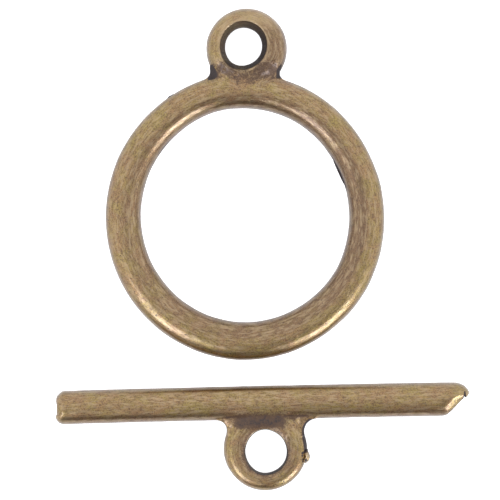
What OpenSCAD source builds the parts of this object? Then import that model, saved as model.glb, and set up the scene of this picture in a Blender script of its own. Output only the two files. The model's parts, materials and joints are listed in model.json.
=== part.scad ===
// Toggle clasp: a cast ring half and a cast bar half, lying flat side by side.
// Millimetres, +Z up. Both halves rest on z = 0 and the pair is centred on the origin.

/* [Ring] */
// Width of the ring across its outside
ring_w = 16; // [14:0.5:18]
// Height of the ring over its width, a slight oval
ring_oval = 1.025; // [1:0.005:1.05]
// Thickness of the ring's rod
ring_rod_d = 2; // [1.8:0.1:2.2]

/* [Ring eye] */
// Outer diameter of the eye
ring_eye_d = 4.62; // [4.4:0.02:5]
// How deep the eye's outline sinks into the ring's outline
ring_eye_sink = 0.86; // [0.7:0.02:1]
// Sideways place of the eye from the ring's middle
ring_eye_shift = 0.09; // [0:0.01:0.2]
// Diameter of the hole at its narrowest
ring_hole_d = 2.12; // [1.9:0.02:2.2]
// Diameter of the hole's rim on the face
ring_rim_d = 2.76; // [2.5:0.02:2.9]
// Place of the hole left of the eye's middle
ring_hole_left = 0.13; // [0:0.01:0.2]
// Place of the hole above the eye's middle
ring_hole_up = 0.13; // [0:0.01:0.2]
// Radius of the fillets between the eye and the ring
ring_fillet_r = 0.5; // [0.3:0.05:0.7]
// Thickness of the thin web in those corners
ring_web_t = 1; // [0.8:0.05:1.4]

/* [Bar] */
// Length of the bar
bar_len = 23.8; // [20:0.2:28]
// Thickness of the bar's rod
bar_rod_d = 1.9; // [1.6:0.02:2.1]
// Rounding of the bar's end corners
bar_corner_r = 0.5; // [0.3:0.05:0.6]
// Depth of the dish in the blunt end
bar_dish = 0.06; // [0:0.01:0.1]
// Angle between the slanting end and the bar's length
bar_slant = 42; // [35:1:60]
// How far the slanting end starts before the tip, on the bar's axis
bar_slant_back = 0.25; // [0.1:0.05:0.4]

/* [Bar eye] */
// Outer diameter of the eye
bar_eye_d = 4.78; // [4.4:0.02:5]
// Thickness of the eye
bar_eye_t = 1.44; // [1.3:0.02:1.6]
// Distance from the bar's axis to the eye's middle
bar_eye_drop = 2.65; // [2.4:0.05:2.9]
// Sideways place of the eye from the bar's middle
bar_eye_shift = 0.14; // [0:0.02:0.5]
// Diameter of the hole at its narrowest
bar_hole_d = 2.44; // [2.2:0.02:2.5]
// Diameter of the hole's rim on the face
bar_rim_d = 2.8; // [2.6:0.02:2.9]
// Place of the hole right of the eye's middle
bar_hole_right = 0.03; // [0:0.01:0.1]
// Place of the hole below the eye's middle
bar_hole_down = 0.1; // [0:0.01:0.15]
// Radius of the fillet left of the eye
bar_fillet_left_r = 0.58; // [0.4:0.02:0.8]
// Radius of the fillet right of the eye
bar_fillet_right_r = 0.75; // [0.4:0.05:0.8]
// Thickness of the thin web in those corners
bar_web_t = 0.9; // [0.7:0.05:1.2]

/* [Gate stub] */
// Width of the broken gate stub on the bar's eye
stub_w = 0.8; // [0.5:0.1:1]
// Height of the stub
stub_t = 0.7; // [0.5:0.1:1]
// How far the stub stands out of the eye
stub_out = 0.12; // [0.1:0.02:0.3]
// Direction of the stub, from the right towards the bottom
stub_turn = 11.5; // [0:0.5:30]

/* [Layout] */
// Clear space between the ring and the bar
halves_gap = 1.54; // [1:0.02:4]
// Place of the ring left of the bar's middle
ring_left = 0.97; // [0:0.01:3]
// Rise of the bar's right end
bar_turn = 1.25; // [0:0.25:3]

/* [Hidden] */
$fn = 64;

bronze = "#8f7650";
// Length of the straight wall at the narrowest part of each hole
land = 0.6;
// Extra depth that makes one shape pass cleanly through another
bite = 0.03;
// Steps in a quarter turn of a rounded corner
corner_steps = 8;

// Ring half, about the ring's centre
ring_rod_r = ring_rod_d / 2;
ring_half_w = ring_w / 2;
ring_half_h = ring_half_w * ring_oval;
ring_eye_r = ring_eye_d / 2;
ring_eye = [ring_eye_shift, ring_half_h - ring_eye_sink + ring_eye_r];
ring_hole = ring_eye + [-ring_hole_left, ring_hole_up];
// Circle that fits the oval's outside at its top
ring_top_r = ring_half_w * ring_half_w / ring_half_h;
ring_top = [0, ring_half_h - ring_top_r];

// Bar half, about the bar's middle
bar_rod_r = bar_rod_d / 2;
bar_eye_r = bar_eye_d / 2;
bar_eye = [bar_eye_shift, -bar_eye_drop];
bar_hole = bar_eye + [bar_hole_right, -bar_hole_down];

// Layout, centred on the pair
ring_reach = ring_eye[1] + ring_eye_r;
bar_reach = bar_eye_drop + bar_eye_r;
layout_h = ring_reach + ring_half_h + halves_gap + bar_rod_r + bar_reach;
ring_y = layout_h / 2 - ring_reach;
bar_y = bar_reach - layout_h / 2;

// Centre of a circle of radius f that touches two circles outside, on the side given by its sign
function between_circles(c1, r1, c2, r2, f, side) =
    let (
        along = (c2 - c1) / norm(c2 - c1),
        across = [-along[1], along[0]],
        span = norm(c2 - c1),
        a = ((r1 + f) ^ 2 - (r2 + f) ^ 2 + span ^ 2) / (2 * span)
    )
    c1 + a * along + side * sqrt((r1 + f) ^ 2 - a ^ 2) * across;

// Centre of a circle of radius f that touches the bar's lower side and its eye
function under_bar(f, side) =
    [
        bar_eye[0] + side * sqrt((bar_eye_r + f) ^ 2 - (bar_eye_drop - bar_rod_r - f) ^ 2),
        -bar_rod_r - f
    ];

// Point at a distance from c, in the direction of p
function toward(c, p, distance) = c + (p - c) * distance / norm(p - c);

// Quarter of a circle about c, from one angle to another
function arc(c, r, from, to) =
    [for (i = [0:corner_steps]) c + r * [
        cos(from + (to - from) * i / corner_steps),
        sin(from + (to - from) * i / corner_steps)
    ]];

// Round rod closed into a loop
module loop(outer_r, rod_r) {
    rotate_extrude()
        translate([outer_r - rod_r, 0])
            circle(r = rod_r);
}

// Hole with a short straight wall that flares to a wider rim on both faces
module flared_hole(hole_r, rim_r, rim_z) {
    flare = (rim_r - hole_r) / (rim_z - land / 2);
    end_z = rim_z + 1;
    end_r = rim_r + flare * (end_z - rim_z);
    rotate_extrude()
        polygon([
            [0, -end_z],
            [end_r, -end_z],
            [hole_r, -land / 2],
            [hole_r, land / 2],
            [end_r, end_z],
            [0, end_z]
        ]);
}

// Thin web: an outline filled around two fillet circles
module web(outline, thick, left, left_r, right, right_r) {
    translate([0, 0, -thick / 2])
        linear_extrude(height = thick)
            difference() {
                polygon(outline);
                translate(left)
                    circle(r = left_r + bite);
                translate(right)
                    circle(r = right_r + bite);
            }
}

module ring_web() {
    left = between_circles(ring_top, ring_top_r, ring_eye, ring_eye_r, ring_fillet_r, 1);
    right = between_circles(ring_top, ring_top_r, ring_eye, ring_eye_r, ring_fillet_r, -1);
    mid_r = ring_top_r - ring_rod_r;
    outline = [
        ring_eye,
        left,
        toward(ring_top, left, mid_r),
        toward(ring_top, right, mid_r),
        right
    ];
    web(outline, ring_web_t, left, ring_fillet_r, right, ring_fillet_r);
}

module bar_web() {
    left = under_bar(bar_fillet_left_r, -1);
    right = under_bar(bar_fillet_right_r, 1);
    outline = [bar_eye, left, [left[0], 0], [right[0], 0], right];
    web(outline, bar_web_t, left, bar_fillet_left_r, right, bar_fillet_right_r);
}

// Bar's rod along X, with rounded corners and a dished left end
module bar_rod() {
    half = bar_len / 2;
    corner = bar_rod_r - bar_corner_r;
    profile = concat(
        [[0, half - bar_dish]],
        arc([corner, half - bar_corner_r], bar_corner_r, 90, 0),
        arc([corner, bar_corner_r - half], bar_corner_r, 0, -90),
        [[0, -half]]
    );
    rotate([0, -90, 0])
        rotate_extrude()
            polygon(profile);
}

// What the slanting end takes off
module slant_cut() {
    size = 3 * bar_rod_d;
    translate([bar_len / 2 - bar_slant_back, 0, 0])
        rotate([0, 0, bar_slant])
            translate([-size, -size, -size / 2])
                cube([2 * size, size, size]);
}

module gate_stub() {
    translate(bar_eye)
        rotate([0, 0, -stub_turn])
            translate([bar_eye_r - bar_eye_t / 2, -stub_w / 2, -stub_t / 2])
                cube([bar_eye_t / 2 + stub_out, stub_w, stub_t]);
}

module toggle_ring() {
    color(bronze)
        translate([-ring_left, ring_y, ring_rod_r])
            difference() {
                union() {
                    scale([1, ring_oval, 1])
                        loop(ring_half_w, ring_rod_r);
                    translate(ring_eye)
                        loop(ring_eye_r, ring_rod_r);
                    ring_web();
                }
                translate(ring_hole)
                    flared_hole(ring_hole_d / 2, ring_rim_d / 2, ring_rod_r);
            }
}

module toggle_bar() {
    color(bronze)
        translate([0, bar_y, bar_rod_r])
            rotate([0, 0, bar_turn])
                difference() {
                    union() {
                        difference() {
                            bar_rod();
                            slant_cut();
                        }
                        translate(bar_eye)
                            loop(bar_eye_r, bar_eye_t / 2);
                        bar_web();
                        gate_stub();
                    }
                    translate(bar_hole)
                        flared_hole(bar_hole_d / 2, bar_rim_d / 2, bar_eye_t / 2);
                }
}

toggle_ring();
toggle_bar();
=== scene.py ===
# %% [markdown]
# Toggle clasp in antique bronze.
# The real thing is two zinc castings with a brown bronze plating: a ring with an eye, and a bar with an
# eye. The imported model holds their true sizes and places. This lesson dresses them: it models both
# castings finely enough for soft corners and casting marks to show, then gives them their worn metal.
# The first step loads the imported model, so that later sizes can be read from it.

import json
import math

import bmesh
import bpy
from mathutils import Matrix, Vector, geometry, noise


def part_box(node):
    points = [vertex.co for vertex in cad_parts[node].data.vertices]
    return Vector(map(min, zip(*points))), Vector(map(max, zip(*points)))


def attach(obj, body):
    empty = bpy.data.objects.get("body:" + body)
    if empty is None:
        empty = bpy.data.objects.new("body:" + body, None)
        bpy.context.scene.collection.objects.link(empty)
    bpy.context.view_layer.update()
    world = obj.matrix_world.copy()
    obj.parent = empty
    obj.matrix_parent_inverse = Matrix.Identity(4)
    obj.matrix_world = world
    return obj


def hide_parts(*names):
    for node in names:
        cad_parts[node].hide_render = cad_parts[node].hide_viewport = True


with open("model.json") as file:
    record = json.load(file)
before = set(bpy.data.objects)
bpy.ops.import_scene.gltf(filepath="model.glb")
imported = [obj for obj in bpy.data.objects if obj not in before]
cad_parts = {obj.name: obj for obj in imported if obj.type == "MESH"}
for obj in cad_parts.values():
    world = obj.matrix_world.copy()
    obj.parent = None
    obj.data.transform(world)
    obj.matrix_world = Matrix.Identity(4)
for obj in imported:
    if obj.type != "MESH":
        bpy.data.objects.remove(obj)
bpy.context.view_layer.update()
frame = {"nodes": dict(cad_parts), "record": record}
print("nodes:", sorted(frame["nodes"]))

# %% [markdown]
# A clasp is only a few hundredths of a metre long, and the remesher used below doesn't go under a
# tenth of a millimetre. So each casting is modelled with one unit to the millimetre and brought down
# to metres as the last step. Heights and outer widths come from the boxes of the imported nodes, and the
# places of both halves come from their chain holes, which the record keeps as mounts.

# %% Sizes of the ring half, in millimetres
MM = 0.001
holes = {m["name"]: Vector(m["pos_m"]) / MM for m in frame["record"]["mounts"]}
hole_r = {m["name"]: m["dims"]["r_mm"] for m in frame["record"]["mounts"]}
ring_low, ring_high = (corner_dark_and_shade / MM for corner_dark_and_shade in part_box("toggle_ring"))

ring_rod_r = ring_high.z / 2
ring_half_w = (ring_high.x - ring_low.x) / 2
ring_oval = 1.025
ring_half_h = ring_half_w * ring_oval
ring_line_r = ring_half_w - ring_rod_r
ring_hole = holes["ring_eye_hole"]
ring_hole_off = Vector((-0.13, 0.13, 0))
ring_eye_r = 2.31
ring_eye_shift = 0.09
ring_eye_sink = 0.86
ring_eye = ring_hole - ring_hole_off
ring_at = ring_eye - Vector((ring_eye_shift, ring_half_h + ring_eye_r - ring_eye_sink, 0))
print("ring centre", ring_at[:], "ring eye", ring_eye[:])

# %% [markdown]
# The bar half lies turned by a little over a degree. It is modelled straight, about its own middle, and
# one matrix takes it to its place.

# %% Sizes of the bar half, in millimetres
bar_low, bar_high = (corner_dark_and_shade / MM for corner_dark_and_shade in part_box("toggle_bar"))
bar_rod_r = bar_high.z / 2
bar_half = (bar_high.x - bar_low.x) / 2
bar_eye = Vector((0.14, -2.65, 0))
bar_eye_r = 2.39
bar_eye_rod_r = 0.72
bar_hole = bar_eye + Vector((0.03, -0.1, 0))
bar_turn = math.radians(1.25)
bar_spin = Matrix.Rotation(bar_turn, 4, "Z")
bar_at = holes["bar_eye_hole"] - bar_spin @ bar_hole
bar_place = Matrix.Translation(bar_at) @ bar_spin
print("bar middle", bar_at[:], "half length", round(bar_half, 3))

# %% [markdown]
# Seen in its highlights, the rod isn't quite round: tumbling has flattened its face a little, and its
# shoulders are fuller than a circle's. Pushing each point of a circle out to a softly squared one gives
# that. A power of two would leave the circle as it is, and a larger one squares it more. The bar's eye is
# the squarest.

# %% Fuller shoulders for a round rod
SHOULDER = 2.6
BAR_EYE_SHOULDER = 2.9


def fuller(across, up, power):
    reach = math.hypot(across, up)
    squared = (abs(across) ** power + abs(up) ** power) ** (1 / power)
    return reach / squared if squared else 1


# %% [markdown]
# Both castings begin as rods bent into loops. A loop is a circle spun about an axis. Spin with
# use_merge closes the last step onto the first, and recalculating the normals afterwards makes sure
# that they point outwards. Sides and steps stay moderate, because a remesh follows.

# %% A rod bent into a loop
def rod_loop(outer_r, rod_r, at, steps, power=SHOULDER):
    bm = bmesh.new()
    bmesh.ops.create_circle(bm, segments=64, radius=rod_r)
    for vert in bm.verts:
        vert.co *= fuller(vert.co.x, vert.co.y, power)
    bmesh.ops.rotate(bm, verts=bm.verts, cent=(0, 0, 0), matrix=Matrix.Rotation(math.pi / 2, 3, "X"))
    bmesh.ops.translate(bm, verts=bm.verts, vec=(outer_r - rod_r, 0, 0))
    bmesh.ops.spin(
        bm,
        geom=bm.verts[:] + bm.edges[:],
        cent=(0, 0, 0),
        axis=(0, 0, 1),
        angle=math.tau,
        steps=steps,
        use_merge=True,
    )
    bmesh.ops.recalc_face_normals(bm, faces=bm.faces)
    bmesh.ops.translate(bm, verts=bm.verts, vec=at)
    return bm


# %% [markdown]
# The ring isn't a perfect circle: it is a little taller than wide, and its rod is a little thicker at
# the bottom than under the eye, as a hand-cut mould gives. Each point's distance from the rod's centre
# line is scaled by where it lies round the ring. In a few places the whole rod also sways in or out by a
# twentieth of a millimetre; each sway is given by its direction, its spread and how far out it goes.

# %% The ring's rod
ring_bottom_gain = 0.05
ring_sways = [(32, 20, -0.045), (108, 13, 0.05), (328, 17, 0.055)]


def ring_sway(around):
    turn = math.degrees(math.atan2(around.y, around.x))
    gaps = [((turn - at + 180) % 360 - 180) / spread for at, spread, _ in ring_sways]
    return sum(out * math.exp(-(gap**2)) for gap, (_, _, out) in zip(gaps, ring_sways))


def ring_rod():
    bm = rod_loop(ring_half_w, ring_rod_r, (0, 0, 0), 240)
    for vert in bm.verts:
        around = vert.co.xy.normalized()
        thick = 1 - ring_bottom_gain * around.y
        across = (vert.co.xy.length - ring_line_r) * thick
        shift = 0.5 * ring_rod_r * (thick - 1)
        vert.co.xy = around * (ring_line_r + across - shift + ring_sway(around))
        vert.co.y *= ring_half_h / ring_half_w
    bmesh.ops.translate(bm, verts=bm.verts, vec=ring_at)
    return bm


# %% [markdown]
# In the corners between an eye and its rod the mould left a thin web, lower than the rods, and it is
# where the dark plating stays. From above each corner ends in a round hollow. The hollow's centre is
# where two circles cross: the outlines of eye and ring, each grown by the hollow's radius.

# %% Centres of the round hollows beside the eyes
ring_fillet_r = 0.5
ring_top_r = ring_half_w**2 / ring_half_h
ring_top = Vector((ring_at.x, ring_at.y + ring_half_h - ring_top_r))
ring_hollows = geometry.intersect_sphere_sphere_2d(
    ring_top, ring_top_r + ring_fillet_r, ring_eye.xy, ring_eye_r + ring_fillet_r
)
ring_hollows = sorted((Vector(centre) for centre in ring_hollows), key=lambda centre: centre.x)
neck_left = Vector((-0.09, 0))
ring_hollows = [centre + neck_left for centre in ring_hollows]

bar_fillet_r = (0.58, 0.75)
bar_hollows = []
for side, fillet in zip((-1, 1), bar_fillet_r):
    level = -bar_rod_r - fillet
    reach = math.sqrt((bar_eye_r + fillet) ** 2 - (bar_eye.y - level) ** 2)
    bar_hollows.append(Vector((bar_eye.x + side * reach, level)))
print("hollows:", [tuple(round(c, 2) for c in h) for h in ring_hollows + bar_hollows])

# %% [markdown]
# Small helpers turn a bmesh into an object, apply an object's modifiers for good, and cut one object
# with another. The Boolean's Manifold solver is quick on closed shapes, and every shape here is closed.

# %% From bmesh to object, and cutting
def as_object(bm, name):
    mesh = bpy.data.meshes.new(name)
    bm.to_mesh(mesh)
    bm.free()
    piece = bpy.data.objects.new(name, mesh)
    bpy.context.scene.collection.objects.link(piece)
    return piece


def settle(piece):
    bpy.context.view_layer.update()
    ready = piece.evaluated_get(bpy.context.evaluated_depsgraph_get())
    mesh = bpy.data.meshes.new_from_object(ready)
    piece.modifiers.clear()
    piece.data = mesh
    return piece


def combine(piece, tool, operation):
    step = piece.modifiers.new(operation.title(), "BOOLEAN")
    step.operation = operation
    step.solver = "MANIFOLD"
    step.object = tool
    settle(piece)
    bpy.data.objects.remove(tool)
    return piece


def rod_along_z(radius, height, at):
    bm = bmesh.new()
    bmesh.ops.create_cone(bm, cap_ends=True, segments=64, radius1=radius, radius2=radius, depth=height)
    bmesh.ops.translate(bm, verts=bm.verts, vec=at)
    return as_object(bm, "tool")


# %% [markdown]
# The web itself is a flat outline pulled up to its thickness, with the round hollows cut out of its two
# sides. It reaches from the middle of the eye to the middle of the rod, so that both hide its ends.

# %% The thin web in the corners
def web(name, outline, thickness, level, hollows, radii):
    bm = bmesh.new()
    flat = [bm.verts.new((x, y, level - thickness / 2)) for x, y in outline]
    bm.faces.new(flat)
    grown = bmesh.ops.extrude_face_region(bm, geom=bm.faces[:])
    top = [item for item in grown["geom"] if isinstance(item, bmesh.types.BMVert)]
    bmesh.ops.translate(bm, verts=top, vec=(0, 0, thickness))
    bmesh.ops.recalc_face_normals(bm, faces=bm.faces)
    piece = as_object(bm, name)
    for centre, radius in zip(hollows, radii):
        tool = rod_along_z(radius, thickness + 1, (centre.x, centre.y, level))
        combine(piece, tool, "DIFFERENCE")
    whole = bmesh.new()
    whole.from_mesh(piece.data)
    bpy.data.objects.remove(piece)
    print(name, "has", len(whole.faces), "faces")
    return whole


ring_web_t = 1.0
bar_web_t = 1.25


def ring_web():
    left, right = ring_hollows
    low_left = ring_top + (left - ring_top).normalized() * (ring_top_r - ring_rod_r)
    low_right = ring_top + (right - ring_top).normalized() * (ring_top_r - ring_rod_r)
    outline = [ring_eye.xy, left, low_left, low_right, right]
    return web("ring web", outline, ring_web_t, ring_at.z, ring_hollows, (ring_fillet_r, ring_fillet_r))


def bar_web():
    left, right = bar_hollows
    outline = [bar_eye.xy, left, (left.x, 0), (right.x, 0), right]
    return web("bar web", outline, bar_web_t, 0, bar_hollows, bar_fillet_r)


# %% [markdown]
# The bar is a straight rod. Its left end is rounded and slightly dished, where the metal shrank as it
# cooled. Its right end is rounded too and was then nipped off at a slant. The nippers' two bevelled jaws
# left a sloping facet above and below the cut, so three cutting planes give that end. Inset with a
# negative depth presses the dish into the flat end face.

# %% The bar's rod
nip_x = 11.52
nip_way = Matrix.Rotation(math.radians(45), 3, "Z") @ Vector((0, -1, 0))
nip_facet_w = 0.42
nip_facet_up = 0.97 * bar_rod_r
nip_tilt = math.radians(34)
bar_left_bevel = 0.5
bar_right_bevel = 0.85
bar_dish = 0.09


def round_edges(bm, edges, offset, segments):
    bmesh.ops.bevel(
        bm, geom=edges, affect="EDGES", offset=offset, segments=segments, profile=0.5, material=-1
    )


def slice_off(bm, at, way):
    geom = bm.verts[:] + bm.edges[:] + bm.faces[:]
    cut = bmesh.ops.bisect_plane(bm, geom=geom, dist=0.0001, plane_co=at, plane_no=way, clear_outer=True)
    edges = [item for item in cut["geom_cut"] if isinstance(item, bmesh.types.BMEdge)]
    bmesh.ops.edgeloop_fill(bm, edges=edges)
    bmesh.ops.recalc_face_normals(bm, faces=bm.faces)


def bar_rod():
    bm = bmesh.new()
    bmesh.ops.create_cone(
        bm, cap_ends=True, segments=64, radius1=bar_rod_r, radius2=bar_rod_r, depth=2 * bar_half
    )
    bmesh.ops.rotate(bm, verts=bm.verts, cent=(0, 0, 0), matrix=Matrix.Rotation(math.pi / 2, 3, "Y"))
    for vert in bm.verts:
        vert.co.yz = vert.co.yz * fuller(vert.co.y, vert.co.z, SHOULDER)
    left_rim = [e for e in bm.edges if all(v.co.x < 0 for v in e.verts)]
    round_edges(bm, left_rim, bar_left_bevel, 8)
    end_face = min(bm.faces, key=lambda face: face.calc_center_median().x)
    bmesh.ops.inset_individual(bm, faces=[end_face], thickness=0.2, depth=-bar_dish)
    right_rim = [e for e in bm.edges if all(v.co.x > bar_half - 0.01 for v in e.verts)]
    round_edges(bm, right_rim, bar_right_bevel, 10)
    at = Vector((nip_x, 0, 0))
    slice_off(bm, at, nip_way)
    for up in (-1, 1):
        facet_at = at - nip_way * nip_facet_w + Vector((0, 0, up * nip_facet_up))
        facet_way = nip_way * math.sin(nip_tilt) + Vector((0, 0, up * math.cos(nip_tilt)))
        slice_off(bm, facet_at, facet_way)
    print("bar rod:", len(bm.faces), "faces")
    return bm


# %% [markdown]
# A casting is one piece of metal, with no seam where its rods meet. So the shapes are put into one mesh
# and the voxel remesher draws a single skin round them. Passes of vertex smoothing then soften every
# inner corner the way molten metal does. The voxel size, given before the number of passes, sets the
# finest detail, about one pixel here. The ring is longer round, so its voxels are larger.

# %% One skin round all the parts
def smooth(bm, verts, passes):
    for _ in range(passes):
        bmesh.ops.smooth_vert(
            bm, verts=verts, factor=0.5, use_axis_x=True, use_axis_y=True, use_axis_z=True
        )


def cast(name, parts, voxel, passes):
    whole = bmesh.new()
    for part in parts:
        mesh = bpy.data.meshes.new("part")
        part.to_mesh(mesh)
        part.free()
        whole.from_mesh(mesh)
        bpy.data.meshes.remove(mesh)
    piece = as_object(whole, name)
    skin = piece.modifiers.new("Skin", "REMESH")
    skin.mode = "VOXEL"
    skin.voxel_size = voxel
    settle(piece)
    soft = bmesh.new()
    soft.from_mesh(piece.data)
    smooth(soft, soft.verts, passes)
    soft.to_mesh(piece.data)
    soft.free()
    print(name, "skin:", len(piece.data.polygons), "faces")
    return piece


ring_eye_rod = rod_loop(ring_eye_r, ring_rod_r, ring_eye, 96)
bar_eye_rod = rod_loop(bar_eye_r, bar_eye_rod_r, bar_eye, 96, BAR_EYE_SHOULDER)
ring = cast("ring_casting", [ring_rod(), ring_eye_rod, ring_web()], 0.071, 7)
bar = cast("bar_casting", [bar_rod(), bar_eye_rod, bar_web()], 0.052, 8)

# %% [markdown]
# Some places are rounder than the rest: the valley where the ring's eye grows out of its rod, the
# slope between the bar and its eye, and the edges of the nipped end. More smoothing passes over those
# points alone fill and round them, while the points around them hold the shape. Two small functions
# start here that many later steps use: one fades from 0 to 1 between two values, and the other fades in
# and out again over a band of values.

# %% Rounder places
def smooth_step(low, high, value):
    share = min(max((value - low) / (high - low), 0), 1)
    return share * share * (3 - 2 * share)


def band(value, low, low_full, high_full, high):
    return smooth_step(low, low_full, value) * smooth_step(high, high_full, value)


def soften(piece, passes, chosen):
    soft = bmesh.new()
    soft.from_mesh(piece.data)
    zone = [vert for vert in soft.verts if chosen(vert.co)]
    smooth(soft, zone, passes)
    soft.to_mesh(piece.data)
    soft.free()
    print(piece.name, "softened at", len(zone), "points")


valley_low = ring_at.y + ring_half_h - 0.7
valley_high = ring_eye.y - 0.95
valley_half_w = 1.9
slope_low = -1.75
slope_high = -0.5
slope_half_w = 2.4
nipped_from = 10.1


def in_valley(co):
    return valley_low < co.y < valley_high and abs(co.x - ring_eye.x) < valley_half_w


def on_slope(co):
    return slope_low < co.y < slope_high and abs(co.x - bar_eye.x) < slope_half_w


def at_nipped_end(co):
    return co.x > nipped_from and co.y < 0.1


soften(ring, 60, in_valley)
soften(bar, 22, on_slope)
soften(bar, 50, at_nipped_end)

# %% [markdown]
# The bar isn't quite straight either: both ends sag by a few hundredths of a millimetre. Its blunt end
# has a shallow saddle across it where the metal shrank, and its tip stands out a little further than the
# smoothing has left it.

# %% The bar's sag, saddle and tip
bar_sag = 0.045
bar_end_in = 0.02
bar_saddle = 0.095
bar_saddle_rise = 0.04
bar_corner_in = 0.06
bar_tip_out = 0.085


def bar_ends(piece):
    for vert in piece.data.vertices:
        co = vert.co
        inwards = bar_end_in + bar_saddle * smooth_step(-0.52, -0.28, co.y)
        inwards -= bar_saddle_rise * smooth_step(0.2, 0.45, co.y)
        inwards += bar_corner_in * smooth_step(0.6, 0.95, co.y)
        tip = bar_tip_out * smooth_step(10.9, 11.6, co.x) * smooth_step(-0.05, 0.25, co.y)
        co.x += inwards * smooth_step(0.6 - bar_half, 0.1 - bar_half, co.x) + tip
        co.y -= bar_sag * (co.x / bar_half) ** 2


# %% [markdown]
# Hand-cut moulds and tumbling leave the metal slightly uneven, which breaks up the highlights. A smooth
# noise pushes the surface in and out by a hundredth of a millimetre or two. Where the two halves of the
# mould met, at half height, they left a faint raised line all round.

# %% Uneven surface and mould line
uneven_size = 1.2
uneven_h = 0.013
seam_w = 0.07
seam_h = 0.018


def bump_at(distance, width):
    return math.exp(-((distance / width) ** 2))


def weather(piece, mid_z, depth_at):
    soft = bmesh.new()
    soft.from_mesh(piece.data)
    for vert in soft.verts:
        uneven = noise.fractal(vert.co / uneven_size, 1.0, 2.0, 3)
        seam = bump_at(vert.co.z - mid_z, seam_w)
        vert.co += vert.normal * (uneven_h * uneven + seam_h * seam + depth_at(vert.co))
    soft.to_mesh(piece.data)
    soft.free()


# %% [markdown]
# Below the ring's eye the casting is at its roughest, because metal shrinks last where it is thickest.
# There the surface gets lumps and a few deeper pits, each given by its place from the eye's middle, its
# radius and how deep it is.

# %% Rough neck under the ring's eye
neck_pits = [
    (Vector((-1.01, -1.39)), 0.33, 0.45),
    (Vector((-0.67, -1.73)), 0.17, 0.7),
    (Vector((0.48, -1.36)), 0.2, 0.35),
    (Vector((1.12, -1.67)), 0.22, 0.65),
    (Vector((1.49, -1.04)), 0.26, 0.6),
    (Vector((-1.76, -1.85)), 0.15, 0.6),
]
neck_lump_h = 0.03
neck_pit_h = 0.065


def neck_share(co):
    gap = (co.xy - ring_eye.xy).length + 0.3 * noise.noise(co * 2.4)
    level = smooth_step(-0.45, -1.0, co.y - ring_eye.y)
    return level * band(gap, 1.1, 1.3, 1.9, 2.4)


def in_neck_pit(co):
    place = co.xy - ring_eye.xy
    return max(deep * bump_at((place - at).length, radius) for at, radius, deep in neck_pits)


def neck_depth(co):
    share = neck_share(co)
    if share == 0 or co.z < ring_at.z:
        return 0
    return share * (neck_lump_h * noise.fractal(co / 0.4, 0.8, 2.0, 3) - neck_pit_h * in_neck_pit(co))


# %% [markdown]
# Beside the bar's eye the metal stands up in three small smooth lumps, which catch the light. Each is
# given by its place, its radius and its height. After that, both castings take their unevenness.

# %% Lumps beside the bar's eye
bar_lumps = [
    (Vector((-1.7, -1.2)), 0.15, 0.05),
    (Vector((2.2, -1.02)), 0.18, 0.05),
    (Vector((1.4, -1.9)), 0.13, 0.045),
]


def lump_height(co):
    if co.z < 0:
        return 0
    return sum(tall * bump_at((co.xy - at).length, radius) for at, radius, tall in bar_lumps)


bar_ends(bar)
print("bar ends sag by", bar_sag, "mm")
weather(ring, ring_at.z, neck_depth)
weather(bar, 0, lump_height)

# %% [markdown]
# The chain holes flare towards both faces. Their cutter is an outline spun about the hole's axis: a
# short straight wall in the middle, and a cone on each side that opens to the rim. The holes aren't
# quite round, so the cutter is made slightly uneven, a little taller than wide, and the ring's leans.
# They are cut after the smoothing, and only a narrow band at each rim is softened again.

# %% Chain holes
wall_h = 0.6
ring_see_through = hole_r["ring_eye_hole"]
bar_see_through = hole_r["bar_eye_hole"] * 0.975
ring_throat = ring_hole + Vector((-0.05, 0, 0))
bar_throat = bar_hole + Vector((0, -0.05, 0))
ring_rim_r = 1.36
bar_rim_r = 1.25
hole_uneven = 0.035
past_rim = 0.4
rim_band = 0.13


def drill(piece, hole, throat_r, rim_r, rim_z, taller, lean):
    flare = (rim_r - throat_r) / (rim_z - wall_h / 2)
    end_z = rim_z + past_rim
    end_r = throat_r + flare * (end_z - wall_h / 2)
    outline = [(0, -end_z), (end_r, -end_z), (throat_r, -wall_h / 2)]
    outline += [(x, -z) for x, z in reversed(outline)]
    bm = bmesh.new()
    line = [bm.verts.new((x, 0, z)) for x, z in outline]
    edges = [bm.edges.new(pair) for pair in zip(line, line[1:])]
    bmesh.ops.subdivide_edges(bm, edges=edges[1:-1], cuts=7)
    bmesh.ops.spin(
        bm,
        geom=bm.verts[:] + bm.edges[:],
        cent=(0, 0, 0),
        axis=(0, 0, 1),
        angle=math.tau,
        steps=96,
        use_merge=True,
    )
    bmesh.ops.remove_doubles(bm, verts=bm.verts, dist=0.0001)
    bmesh.ops.recalc_face_normals(bm, faces=bm.faces)
    for vert in bm.verts:
        way = vert.co.xy.normalized()
        vert.co.xy *= 1 + hole_uneven * noise.noise(Vector((1.3 * way.x, 1.3 * way.y, throat_r * 7)))
        vert.co.y *= taller
        vert.co.x += lean * vert.co.y
    bmesh.ops.translate(bm, verts=bm.verts, vec=hole)
    combine(piece, as_object(bm, "drill"), "DIFFERENCE")
    round_rim(piece, hole, rim_r, rim_z)


def round_rim(piece, hole, rim_r, rim_z):
    def at_rim(co):
        away = (co - hole).xy.length - rim_r
        return abs(away) < rim_band and co.z - hole.z > rim_z - 0.2

    soften(piece, 5, at_rim)


drill(ring, ring_throat, ring_see_through, ring_rim_r, ring_rod_r, 1.06, 0.05)
drill(bar, bar_throat, bar_see_through, bar_rim_r, bar_eye_rod_r, 1.045, 0)
print("ring and bar drilled:", len(ring.data.polygons), len(bar.data.polygons), "faces")

# %% [markdown]
# Now the marks of casting and trimming. The channel that fed the bar's eye was broken off and left a
# rough knob, dark in its cracks and bare on its top. A knob is a ball made uneven by noise and joined
# on. Its cracks are given by their place from the eye's middle, along the stub and across it, and by
# their radius. They are painted later.

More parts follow.
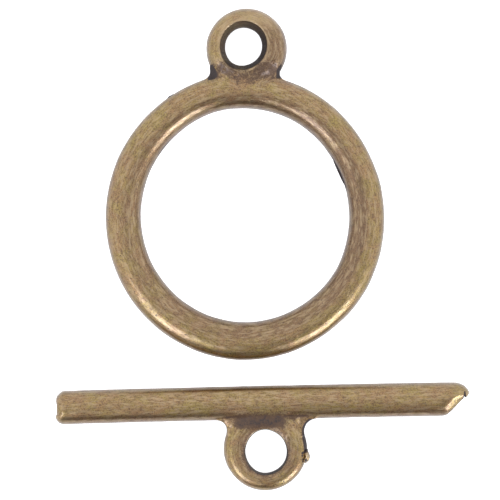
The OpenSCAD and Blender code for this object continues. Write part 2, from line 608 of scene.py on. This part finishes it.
# %% Stub of the channel
def rough_lump(size, uneven, seed, place):
    bm = bmesh.new()
    bmesh.ops.create_icosphere(bm, subdivisions=4, radius=1)
    for vert in bm.verts:
        vert.co *= 1 + uneven * noise.noise(vert.co * 1.6 + Vector((seed, 0, 0)))
    bmesh.ops.scale(bm, verts=bm.verts, vec=Vector(size) / 2)
    bmesh.ops.transform(bm, matrix=place, verts=bm.verts)
    bmesh.ops.recalc_face_normals(bm, faces=bm.faces)
    return as_object(bm, "rough lump")


stub_turn = Matrix.Rotation(math.radians(-11.5), 4, "Z")
stub_out = Matrix.Translation(bar_eye) @ stub_turn
stub_place = stub_out @ Matrix.Translation((bar_eye_r - 0.06, 0.03, 0.1)) @ Matrix.Rotation(0.25, 4, "Z")
combine(bar, rough_lump((0.52, 0.82, 0.95), 0.5, 3, stub_place), "UNION")
stub_cracks = [
    (Vector((2.42, 0.40)), 0.10),
    (Vector((2.28, 0.29)), 0.10),
    (Vector((2.14, 0.17)), 0.09),
    (Vector((2.15, 0.02)), 0.06),
    (Vector((2.21, -0.18)), 0.06),
    (Vector((2.40, -0.21)), 0.09),
    (Vector((2.23, -0.32)), 0.05),
]

# %% [markdown]
# Molten metal also creeps into the gap between the mould halves and leaves thin flash: a sliver inside
# the ring on the right, and a small nub on its outer edge at the upper left.

# %% Flash sliver inside the ring
flash_from = math.radians(17)
flash_to = math.radians(32.6)
flash_out = 0.1
flash_root = 0.15
flash_t = 0.07


def flash_sliver():
    bm = bmesh.new()
    bmesh.ops.create_grid(bm, x_segments=14, y_segments=3, size=0.5)
    inner_r = ring_half_w - 2 * ring_rod_r
    for vert in bm.verts:
        along = vert.co.x + 0.5
        swell = math.sin(math.pi * along) ** 0.6
        turn = flash_from + (flash_to - flash_from) * along
        reach = inner_r + flash_root - (vert.co.y + 0.5) * (flash_root + flash_out * swell)
        vert.co = ring_at + Vector((reach * math.cos(turn), ring_oval * reach * math.sin(turn), 0.03))
    bmesh.ops.recalc_face_normals(bm, faces=bm.faces)
    bmesh.ops.solidify(bm, geom=bm.faces[:], thickness=flash_t)
    bmesh.ops.recalc_face_normals(bm, faces=bm.faces)
    return as_object(bm, "flash")


combine(ring, flash_sliver(), "UNION")
nub_at = ring_at + Vector((-4.28, 6.86, 0.1))
nub_place = Matrix.Translation(nub_at) @ Matrix.Rotation(0.62, 4, "Z")
combine(ring, rough_lump((0.5, 0.2, 0.4), 0.4, 5, nub_place), "UNION")

# %% [markdown]
# The nippers that trimmed the bar's slanting end left a thin hooked burr at its tip. Between the burr
# and the nipped face is a narrow dark cleft, cut here with a slim pointed wedge.

# %% Cleft behind the burr
cleft_at = Vector((11.62, 0.19, 0))


def cleft_wedge():
    bm = bmesh.new()
    bmesh.ops.create_cone(bm, cap_ends=True, segments=4, radius1=0.14, radius2=0.03, depth=0.46)
    bmesh.ops.rotate(bm, verts=bm.verts, cent=(0, 0, 0), matrix=Matrix.Rotation(math.pi / 4, 3, "Z"))
    bmesh.ops.rotate(bm, verts=bm.verts, cent=(0, 0, 0), matrix=Matrix.Rotation(-math.pi / 2, 3, "X"))
    bmesh.ops.scale(bm, verts=bm.verts, vec=(0.75, 1, 12))
    bmesh.ops.translate(bm, verts=bm.verts, vec=cleft_at)
    return as_object(bm, "cleft")


combine(bar, cleft_wedge(), "DIFFERENCE")
print("ring and bar trimmed:", len(ring.data.polygons), len(bar.data.polygons), "faces")

# %% [markdown]
# The plating is dark in hollows and rubbed bright on ridges. How hollow a place is can be measured: a
# copy of the mesh is smoothed many times, and a point in a hollow moves outwards while one on a ridge
# moves inwards. The distance is kept on the points as an attribute that the material reads. A second
# attribute keeps the distance across the rod, so that brush marks can follow the rods round.

# %% Measure the hollows
def hollowness(mesh, passes):
    soft = bmesh.new()
    soft.from_mesh(mesh)
    before = [vert.co.copy() for vert in soft.verts]
    normals = [vert.normal.copy() for vert in soft.verts]
    smooth(soft, soft.verts, passes)
    moved = [(vert.co - old).dot(normal) for vert, old, normal in zip(soft.verts, before, normals)]
    soft.free()
    return moved


def keep(mesh, name, values):
    layer = mesh.attributes.new(name, "FLOAT", "POINT")
    layer.data.foreach_set("value", values)
    print(name, "from", round(min(values), 3), "to", round(max(values), 3))


def in_hollow(moved):
    return smooth_step(-0.004, 0.05, moved)


def on_ridge(moved):
    return smooth_step(0.02, 0.045, -moved)


hollow_passes = 40

# %% [markdown]
# On the ring half the dark places are the hollows, the flash sliver and the nub, the two corners beside
# the neck, the rough neck in patches, and a line along the inner edge under the eye. The sliver and the
# corners lie low, so their dark plating carries painted shade as well. The line along the inner edge is
# painted
# shade alone: there the view reaches past the rod's middle to its lower half, which faces the shaded
# floor.
# Each corner is given by its middle and half its size, from the eye's middle. The eye's top is rubbed.
# Inwards from its crest the rod is made darker, most on the ring's right, where its inner half faces left,
# and the eye's right is darker too.

# %% Attributes of the ring half
ring_corners = [(Vector((-1.9, -1.4)), (0.36, 0.5)), (Vector((1.86, -1.33)), (0.2, 0.46))]
corner_edge = 0.08


def in_corner(place, middle, half):
    aside = place.xy - middle
    across = smooth_step(half[0], half[0] - corner_edge, abs(aside.x))
    return across * smooth_step(half[1], half[1] - corner_edge, abs(aside.y))


def ring_patina_and_shade(co, moved):
    out = co - ring_at
    turn = math.degrees(math.atan2(out.y, out.x))
    inner = smooth_step(-0.8, -0.92, (out.xy.length - ring_line_r) / ring_rod_r)
    # Painted shade: a dark line along the upper inner edge, where the view reaches the rod's lower half.
    painted_shade_line = inner * band(turn, 36, 60, 138, 150)
    # The flash sliver lies low, at mid-height: dark plating with painted shade.
    flash = smooth_step(-1.0, -1.03, (out.xy.length - ring_line_r * 1.01) / ring_rod_r)
    flash *= band(turn, 14, 17, 33, 36)
    place = co - ring_eye
    # The corners lie low between eye and rod: dark plating with painted shade.
    corner_dark_and_shade = max(in_corner(place, middle, half) for middle, half in ring_corners)
    corner_dark_and_shade *= smooth_step(0.72, 0.6, abs(out.z))
    share = neck_share(co) * smooth_step(1.0, 1.3, co.z)
    clouds = 0.5 + 0.5 * noise.fractal(co / 0.3, 0.8, 2.0, 2)
    aside = smooth_step(0.15, 0.8, abs(place.x + 0.1))
    neck = share * max(0.26 + 0.12 * aside + 0.3 * clouds, in_neck_pit(co))
    past_ring = out.xy.length - ring_half_w - 0.02
    nub = smooth_step(0.36, 0.2, (co - nub_at).length) * smooth_step(0.0, 0.05, past_ring)
    return max(in_hollow(moved), painted_shade_line, flash, corner_dark_and_shade, neck, nub)


points = [vert.co for vert in ring.data.vertices]
moved = hollowness(ring.data, hollow_passes)
keep(ring.data, "patina_and_shade", [ring_patina_and_shade(co, way) for co, way in zip(points, moved)])
eye_top = [0.7 * smooth_step(0.2, 2.0, co.y - ring_eye.y) for co in points]
keep(ring.data, "ridge", [max(on_ridge(way), top) for way, top in zip(moved, eye_top)])
on_eye = [(co - ring_eye).xy.length < ring_eye_r + 0.05 for co in points]
across = [(co - (ring_eye if eye else ring_at)).xy.length for co, eye in zip(points, on_eye)]
keep(ring.data, "across", across)


def ring_rod_tone(co, gap):
    side = 0.5 + 0.5 * (co.x - ring_at.x) / ring_half_w
    crest = smooth_step(-0.14, 0.12, (gap - ring_line_r) / ring_rod_r)
    return 1 - (1 - crest) * (0.3 + 0.65 * side)


def ring_eye_tone(co):
    place = co - ring_eye
    return 1 - 0.7 * smooth_step(0.4, 1.4, place.x) * smooth_step(1.9, 0.8, place.y)


tone_and_shade = [ring_eye_tone(co) if eye else ring_rod_tone(co, gap) for co, gap, eye in zip(points, across, on_eye)]
keep(ring.data, "tone_and_shade", tone_and_shade)

# %% [markdown]
# On the bar half the dark places are the right side of its eye and the edge of the hollow beside it, the
# slope and the valley between rod and eye, a rim round the hole, the cleft, and the stub's cracks. Along
# the eye's right side and the hollow's edge the dark plating carries painted shade as well, and on the
# slope it carries a painted reflection of the room's darker side, towards which the slope tilts. The
# stub's top is bare. The eye's inner half is made darker, and the rod's lower side gets painted shade,
# since it faces the room's darker side.

# %% Attributes of the bar half
def bar_patina_and_shade(co, moved):
    # The eye's right side and the hollow's edge: dark plating with painted shade along that outline.
    side = smooth_step(0.64, 0.53, abs(co.z)) * band(co.x, 1.8, 2.0, 2.8, 3.3)
    side *= band(co.y, -2.95, -2.8, -1.02, -0.88)
    past_hollow = (co.xy - bar_hollows[1]).length - bar_fillet_r[1]
    hollow_edge_dark_and_shade = smooth_step(0.17, 0.09, past_hollow)
    hollow_edge_dark_and_shade *= smooth_step(-0.9, -1.0, co.y) * smooth_step(1.9, 2.1, co.x)
    side = max(side, hollow_edge_dark_and_shade)
    clouds = 0.5 + 0.5 * noise.fractal(co / 0.35, 0.8, 2.0, 2)
    face_up = smooth_step(0, 0.3, co.z)
    wide = band(co.x, -2.1, -1.2, 0.9, 2.0) * face_up
    # The slope: dark plating with a painted reflection of the room's darker side, towards which it tilts.
    neck = wide * smooth_step(0.85, 0.05, abs(co.y + 1.05)) * (0.55 + 0.4 * clouds)
    gap = (co - bar_throat).xy.length - bar_rim_r
    near_hole = smooth_step(0.42, 0.0, gap) * smooth_step(0.4, 0.55, co.z) * (0.35 + 0.3 * clouds)
    long = band(co.x, -2.3, -2.0, 2.5, 2.8) * face_up
    valley = long * bump_at(co.y + 0.76, 0.1) * (0.45 + 0.4 * clouds)
    aside = co - cleft_at
    cleft_w = 0.02 + 0.07 * smooth_step(0.24, -0.16, aside.y)
    cleft = smooth_step(cleft_w + 0.04, cleft_w, abs(aside.x)) * smooth_step(0.3, 0.22, abs(aside.y))
    stub = (stub_turn.inverted() @ (co - bar_eye)).xy
    crack = max(smooth_step(1.15, 0.75, (stub - at).length / radius) for at, radius in stub_cracks)
    crack *= smooth_step(-0.1, 0.05, co.z)
    return max(in_hollow(moved), side, cleft, neck, valley, near_hole, crack)


def bar_tone_and_shade(gap, on_eye):
    if on_eye:
        return 1 - 0.65 * smooth_step(0.15, -0.3, gap - bar_eye_r + bar_eye_rod_r)
    # Painted shade on the rod's lower side, which faces the room's darker side.
    return 1 - 0.4 * smooth_step(-0.25, -0.7, gap)


points = [vert.co for vert in bar.data.vertices]
moved = hollowness(bar.data, hollow_passes)
keep(bar.data, "patina_and_shade", [bar_patina_and_shade(co, way) for co, way in zip(points, moved)])
stub_at = stub_out @ Vector((bar_eye_r, 0, 0))
bare = [0.8 * smooth_step(0.5, 0.35, (stub_at - co).length) for co in points]
keep(bar.data, "ridge", [max(on_ridge(way), metal) for way, metal in zip(moved, bare)])
on_eye = [co.y < -bar_rod_r and (co - bar_eye).xy.length < bar_eye_r + 0.2 for co in points]
across = [(co - bar_eye).xy.length if eye else co.y for co, eye in zip(points, on_eye)]
keep(bar.data, "across", across)
keep(bar.data, "tone_and_shade", [bar_tone_and_shade(gap, eye) for gap, eye in zip(across, on_eye)])

# %% [markdown]
# The walls of the chain holes are dark, since nothing ever rubs them. They are a little lighter at the
# top and on the left, and on the upper left a thin lighter line runs along them. The rims belong to the
# bright face, and along their upper edges a thin pale line is a painted highlight, where the edge would
# catch the light.

# %% Mark the walls of the chain holes
def mark_wall(mesh, hole, rim_r, line_z):
    dark = [0.0] * len(mesh.vertices)
    rim_glint_share = [0.0] * len(mesh.vertices)
    rest = []
    for face in mesh.polygons:
        out = Vector(face.center) - hole
        inwards = out.xy.normalized().dot(face.normal.xy)
        if out.xy.length < rim_r + 0.1 and inwards < -0.6:
            for index in face.vertices:
                out = mesh.vertices[index].co - hole
                way = out.xy.normalized()
                top = smooth_step(0.0, 0.8, way.y)
                left = smooth_step(0.35, -0.35, way.x)
                upper_left = smooth_step(0.3, 0.9, way.dot(Vector((-0.71, 0.71))))
                line = bump_at(out.z - line_z, 0.07)
                dark[index] = 1 - 0.15 * top - 0.3 * left - 0.4 * upper_left * line
        elif out.xy.length < rim_r + 0.3:
            rest.append(face)
    for face in rest:
        for index in face.vertices:
            if dark[index] > 0.3:
                way = (mesh.vertices[index].co - hole).xy.normalized()
                # Painted highlight: a thin pale line along the upper rim, where the edge would catch the
                # light.
                rim_glint_share[index] = 0.9 * smooth_step(0.0, 0.6, way.y)
            dark[index] = min(dark[index], 0.3)
    keep(mesh, "wall", dark)
    keep(mesh, "rim", rim_glint_share)


mark_wall(ring.data, ring_throat, ring_rim_r, 0.75)
mark_wall(bar.data, bar_throat, bar_rim_r, wall_h / 2)

# %% [markdown]
# Each casting now goes to its place and down to metres, with the place held in the mesh itself. Sharp
# edges are marked by their angle, so that rims stay crisp and all else shades smoothly.

# %% Finished castings, in metres
def finish_casting(piece, place, node):
    piece.data.transform(Matrix.Scale(MM, 4) @ place)
    piece.data.shade_smooth()
    piece.data.set_sharp_from_angle(angle=math.radians(50))
    piece.data.update()
    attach(piece, "root")
    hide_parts(node)
    piece.data.calc_loop_triangles()
    print(piece.name, "triangles:", len(piece.data.loop_triangles))


finish_casting(ring, Matrix.Identity(4), "toggle_ring")
finish_casting(bar, bar_place, "toggle_bar")

# %% [markdown]
# The finish is made of effects, each a node group with named inputs and outputs: brush marks that
# follow the rods, mottling of the plating, and pits. One helper adds a node, sets it and wires it.

# %% Helpers for materials
def add(tree, kind, feeds=None, **settings):
    node = tree.nodes.new(kind)
    for name, value in settings.items():
        setattr(node, name, value)
    for socket, value in (feeds or {}).items():
        if isinstance(value, bpy.types.NodeSocket):
            tree.links.new(value, node.inputs[socket])
        else:
            node.inputs[socket].default_value = value
    return node


def new_group(name, inputs, outputs):
    group = bpy.data.node_groups.new(name, "ShaderNodeTree")
    for label, (kind, value) in inputs.items():
        socket = group.interface.new_socket(label, in_out="INPUT", socket_type=kind)
        if value is not None:
            socket.default_value = value
    for label in outputs:
        group.interface.new_socket(label, in_out="OUTPUT", socket_type="NodeSocketFloat")
    return group, add(group, "NodeGroupInput"), add(group, "NodeGroupOutput")


def calculate(tree, operation, *values):
    feeds = dict(enumerate(values))
    return add(tree, "ShaderNodeMath", feeds, operation=operation).outputs[0]


# %% [markdown]
# Brush marks are noise that changes slowly along the rod and quickly across it. A noise in four
# dimensions does this on any bent rod: three of them are the place, stretched, and the fourth is the
# distance across the rod that was kept on the points.

# %% Effect: brush marks
def brush_marks():
    group, given, made = new_group(
        "Brush marks",
        {
            "Place": ("NodeSocketVector", None),
            "Across": ("NodeSocketFloat", 0.0),
            "Length": ("NodeSocketFloat", 0.5),
            "Fineness": ("NodeSocketFloat", 9.0),
        },
        ["Mark"],
    )
    stretch = add(group, "ShaderNodeCombineXYZ", {0: given.outputs["Length"], 1: given.outputs["Length"]})
    group.links.new(given.outputs["Fineness"], stretch.inputs[2])
    feeds = {0: given.outputs["Place"], 1: stretch.outputs[0]}
    drawn = add(group, "ShaderNodeVectorMath", feeds, operation="MULTIPLY")
    fast = calculate(group, "MULTIPLY", given.outputs["Across"], given.outputs["Fineness"])
    marks = add(
        group,
        "ShaderNodeTexNoise",
        {"Vector": drawn.outputs[0], "W": fast, "Scale": 1.0, "Detail": 4.0, "Roughness": 0.62},
        noise_dimensions="4D",
    )
    group.links.new(marks.outputs["Fac"], made.inputs["Mark"])
    return group


brushed = brush_marks()

# %% [markdown]
# The plating took unevenly, so its colour drifts in soft clouds. The same cloudy noise, at a larger
# scale, also gives the small specks and the grain. A smooth ramp widens its contrast.

# %% Effect: mottling of the plating
def mottling():
    group, given, made = new_group(
        "Plating mottle",
        {"Place": ("NodeSocketVector", None), "Scale": ("NodeSocketFloat", 1.0)},
        ["Cloud"],
    )
    cloud = add(
        group,
        "ShaderNodeTexNoise",
        {
            "Vector": given.outputs["Place"],
            "Scale": given.outputs["Scale"],
            "Detail": 5.0,
            "Roughness": 0.65,
            "Distortion": 0.6,
        },
    )
    spread = add(
        group,
        "ShaderNodeMapRange",
        {"Value": cloud.outputs["Fac"], "From Min": 0.35, "From Max": 0.65},
        interpolation_type="SMOOTHSTEP",
    )
    group.links.new(spread.outputs["Result"], made.inputs["Cloud"])
    return group


mottled = mottling()

# %% [markdown]
# Pits are where gas bubbles met the mould. They are the centres of a cell pattern, and a slower noise
# lets only some of them through, so that they come in clusters.

# %% Effect: pits
def pitting():
    group, given, made = new_group(
        "Casting pits",
        {
            "Place": ("NodeSocketVector", None),
            "Scale": ("NodeSocketFloat", 2.0),
            "Share": ("NodeSocketFloat", 0.4),
        },
        ["Pit"],
    )
    cells = add(
        group,
        "ShaderNodeTexVoronoi",
        {"Vector": given.outputs["Place"], "Scale": given.outputs["Scale"], "Randomness": 1.0},
    )
    dots = add(
        group,
        "ShaderNodeMapRange",
        {"Value": cells.outputs["Distance"], "From Min": 0.22, "From Max": 0.08},
        interpolation_type="SMOOTHSTEP",
    )
    some = add(
        group,
        "ShaderNodeTexWhiteNoise",
        {"Vector": cells.outputs["Position"]},
        noise_dimensions="3D",
    )
    chosen = calculate(group, "LESS_THAN", some.outputs["Value"], given.outputs["Share"])
    pit = calculate(group, "MULTIPLY", dots.outputs["Result"], chosen)
    group.links.new(pit, made.inputs["Pit"])
    return group


pitted = pitting()
print("effects:", [group.name for group in bpy.data.node_groups])

# %% [markdown]
# Antique bronze is a thin brown plating over a yellower metal. On the real clasp it is olive in some
# places and pinkish in others, pale where it is rubbed, dark brown in the corners and almost black in the
# deepest ones. The material starts from those colours and mixes them by the effects above. The pale
# colour also paints the highlight along the rims of the chain holes, and the dark ones also paint the
# shade on the flash, in the ring's corners, along its inner edge, beside the bar's eye and on the bar's
# lower side.

# %% Colours of the finish
OLIVE = (0.450, 0.325, 0.098, 1)
ROSE = (0.450, 0.268, 0.118, 1)
RUBBED_AND_GLINT = (0.560, 0.410, 0.235, 1)
BROWN = (0.110, 0.062, 0.036, 1)
BLACK = (0.045, 0.032, 0.030, 1)
HOLE_WALL = (0.044, 0.031, 0.027, 1)
BUMP_DEPTH = 0.012 * MM


def blend(tree, share, first, second):
    feeds = {0: share, 6: first, 7: second}
    return add(tree, "ShaderNodeMix", feeds, data_type="RGBA").outputs[2]


def span(tree, value, low, high, to_low=0.0, to_high=1.0):
    feeds = {"Value": value, "From Min": low, "From Max": high, "To Min": to_low, "To Max": to_high}
    return add(tree, "ShaderNodeMapRange", feeds, interpolation_type="SMOOTHSTEP").outputs["Result"]


# %% [markdown]
# The material works outwards. First comes the plating, olive to pinkish, and darker where the tone
# attribute is low; on the bar's lower side that darkening is painted shade. Grain and fine scratches
# darken it, brush streaks and ridges show the paler metal, and the dark plating lies over all that in the
# hollows, with painted shade in the low places that its mask also holds. A thin painted highlight runs
# along the upper rims of the chain holes. Where it is dark it is also matte: less of a metal, rougher,
# and without the thin clear coat. The heights of the same effects drive a very shallow bump.

# %% Material: antique bronze
def antique_bronze():
    material = bpy.data.materials.new("antique_bronze")
    material.use_nodes = True
    tree = material.node_tree
    tree.nodes.clear()
    coords = add(tree, "ShaderNodeTexCoord").outputs["Object"]
    place = add(tree, "ShaderNodeMapping", {"Vector": coords, "Scale": (1000, 1000, 1000)}).outputs[0]
    kept = {
        name: add(tree, "ShaderNodeAttribute", attribute_name=name).outputs["Fac"]
        for name in ("patina_and_shade", "ridge", "across", "tone_and_shade", "wall", "rim")
    }

    def effect(group, **values):
        feeds = {key.title(): value for key, value in values.items()}
        return add(tree, "ShaderNodeGroup", {"Place": place, **feeds}, node_tree=group).outputs[0]

    fine = effect(brushed, across=kept["across"], length=1.9, fineness=9.0)
    broad = effect(brushed, across=kept["across"], length=0.5, fineness=2.6)
    scratch = effect(brushed, across=kept["across"], length=2.6, fineness=13.0)
    cloud = effect(mottled, scale=0.9)
    speck = effect(mottled, scale=3.6)
    grain = effect(mottled, scale=13.0)
    pits = effect(pitted, scale=3.4, share=0.3)

    darkening_and_shade = calculate(tree, "SUBTRACT", 1.0, kept["tone_and_shade"])
    rosy = calculate(tree, "MULTIPLY_ADD", darkening_and_shade, 0.5, cloud)
    scuff = calculate(tree, "MULTIPLY", kept["ridge"], span(tree, broad, 0.35, 0.6, 0.2, 0.7))
    uneven = calculate(tree, "MULTIPLY_ADD", grain, 0.25, -0.125)
    ragged = calculate(tree, "ADD", kept["patina_and_shade"], uneven)
    layers = [
        (rosy, ROSE),
        (span(tree, speck, 0, 1, 0.1, 0.25), BROWN),
        # Darker where the tone attribute is low; on the bar's lower side that is painted shade.
        (calculate(tree, "MULTIPLY", darkening_and_shade, 0.6), BROWN),
        (span(tree, grain, 0.35, 0.9, 0.0, 0.64), BROWN),
        (span(tree, scratch, 0.47, 0.34, 0.0, 0.58), BROWN),
        (span(tree, fine, 0.45, 0.64, 0.0, 0.55), RUBBED_AND_GLINT),
        (scuff, RUBBED_AND_GLINT),
        # The patina mask also holds painted shade in low places, and its highest values paint near black.
        (span(tree, ragged, 0.12, 0.6), BROWN),
        (span(tree, ragged, 0.6, 0.9), BLACK),
        (calculate(tree, "MULTIPLY", pits, 0.6), BROWN),
        (kept["wall"], HOLE_WALL),
        # A painted highlight along the upper rims of the chain holes.
        (kept["rim"], RUBBED_AND_GLINT),
    ]
    tone = OLIVE
    for share, colour in layers:
        tone = blend(tree, share, tone, colour)

    rough = calculate(tree, "MULTIPLY_ADD", kept["patina_and_shade"], 0.2, span(tree, fine, 0.3, 0.7, 0.37, 0.3))
    height = calculate(tree, "MULTIPLY", fine, 0.3)
    for mark, share in ((broad, 0.35), (speck, 0.2), (grain, 0.1), (pits, -1.2)):
        height = calculate(tree, "MULTIPLY_ADD", mark, share, height)
    bump = add(tree, "ShaderNodeBump", {"Strength": 1.0, "Distance": BUMP_DEPTH, "Height": height})
    hidden = calculate(tree, "MINIMUM", calculate(tree, "MAXIMUM", kept["patina_and_shade"], kept["wall"]), 1.0)
    lacquer = calculate(tree, "MULTIPLY_ADD", hidden, -0.92, 1.0)
    bare_metal = calculate(tree, "MULTIPLY_ADD", hidden, -0.75, 1.0)
    metal = add(
        tree,
        "ShaderNodeBsdfPrincipled",
        {
            "Base Color": tone,
            "Roughness": rough,
            "Metallic": bare_metal,
            "Normal": bump.outputs[0],
            "Coat Weight": lacquer,
            "Coat Roughness": 0.24,
        },
    )
    add(tree, "ShaderNodeOutputMaterial", {"Surface": metal.outputs[0]})
    return material


bronze = antique_bronze()
for piece in (ring, bar):
    piece.data.materials.clear()
    piece.data.materials.append(bronze)
print("nodes in the finish:", len(bronze.node_tree.nodes))

# %% [markdown]
# The photograph was taken on a white surface that came out pure white. A large pale floor does the
# same: it glows a little for the camera alone, and the light that it throws back gives the castings
# their pale outer edges.

# %% Floor
def pale_floor():
    bm = bmesh.new()
    bmesh.ops.create_circle(bm, cap_ends=True, segments=64, radius=1.5)
    floor = as_object(bm, "floor")
    paper = bpy.data.materials.new("white_paper")
    paper.use_nodes = True
    tree = paper.node_tree
    tree.nodes.clear()
    matt = add(tree, "ShaderNodeBsdfDiffuse", {"Color": (0.85, 0.85, 0.86, 1)})
    seen = add(tree, "ShaderNodeLightPath").outputs["Is Camera Ray"]
    glow = add(tree, "ShaderNodeEmission", {"Strength": calculate(tree, "MULTIPLY", seen, 0.95)})
    both = add(tree, "ShaderNodeAddShader", {0: matt.outputs[0], 1: glow.outputs[0]})
    add(tree, "ShaderNodeOutputMaterial", {"Surface": both.outputs[0]})
    floor.data.materials.append(paper)
    return floor


floor = pale_floor()

# %% [markdown]
# Metal shows what is around it. Here that is a bright white room with one darker side, where the
# photographer stood, below the picture. It makes the dark band along the lower side of every rod. The
# camera itself sees a plain white room.

# %% Room light
DARK_WAY = Vector((0, -1, 0.78)).normalized()
BRIGHT_WALL = (1.0, 1.0, 1.02, 1)
DARK_WALL = (0.13, 0.12, 0.12, 1)


def white_room():
    world = bpy.data.worlds.new("white room")
    bpy.context.scene.world = world
    world.use_nodes = True
    tree = world.node_tree
    tree.nodes.clear()
    way = add(tree, "ShaderNodeTexCoord").outputs["Generated"]
    facing = add(tree, "ShaderNodeVectorMath", {0: way, 1: DARK_WAY}, operation="DOT_PRODUCT")
    dark_side = span(tree, facing.outputs["Value"], 0.57, 0.9)
    light = blend(tree, dark_side, BRIGHT_WALL, DARK_WALL)
    seen = add(tree, "ShaderNodeLightPath").outputs["Is Camera Ray"]
    light = blend(tree, seen, light, (1, 1, 1, 1))
    glow = add(tree, "ShaderNodeBackground", {"Color": light, "Strength": 1.0})
    add(tree, "ShaderNodeOutputWorld", {"Surface": glow.outputs[0]})


white_room()

# %% [markdown]
# Two soft boxes light the clasp from the lower left and the lower right. Each gives the rods one long
# bright streak where they turn towards it. Their light is a little cooler than the room's, so that the
# streaks come out cream and not orange.

# %% Soft boxes
BOX_LIGHT = (0.95, 1.0, 1.13)
BOX_AWAY = 0.6


def soft_box(name, azimuth, elevation, width, height, glow):
    lamp = bpy.data.lights.new(name, "AREA")
    lamp.shape = "RECTANGLE"
    lamp.size = width
    lamp.size_y = height
    lamp.energy = glow * math.pi * width * height
    lamp.color = BOX_LIGHT
    box = bpy.data.objects.new(name, lamp)
    bpy.context.scene.collection.objects.link(box)
    up = math.radians(elevation)
    turn = math.radians(azimuth)
    way = Vector((math.cos(up) * math.cos(turn), math.cos(up) * math.sin(turn), math.sin(up)))
    box.location = way * BOX_AWAY
    box.rotation_euler = way.to_track_quat("Z", "Y").to_euler()
    print(name, "at", tuple(round(c, 3) for c in box.location))


soft_box("left soft box", 231, 46, 0.2, 0.36, 4.6)
soft_box("right soft box", 308, 30, 0.2, 0.36, 6.0)

# %% [markdown]
# The photograph looks straight down from about fifteen centimetres, which shows in the chain holes: the
# far rim of each is shifted by the view. A long lens at that height gives the same frame.

# %% Camera
frame_w = 28.75
camera_h = 150
camera_at = (-0.684, -0.029)
lens = bpy.data.cameras.new("camera")
lens.sensor_width = 36
lens.lens = 36 * camera_h / frame_w
lens.clip_start = 0.01
camera = bpy.data.objects.new("camera", lens)
camera.location = Vector((*camera_at, camera_h + 1)) * MM
bpy.context.scene.collection.objects.link(camera)
bpy.context.scene.camera = camera
bpy.context.scene.view_settings.view_transform = "Standard"
print("lens", round(lens.lens, 1), "mm")

# %% [markdown]
# Last, the view layer is brought up to date.

# %% Finish
bpy.context.view_layer.update()
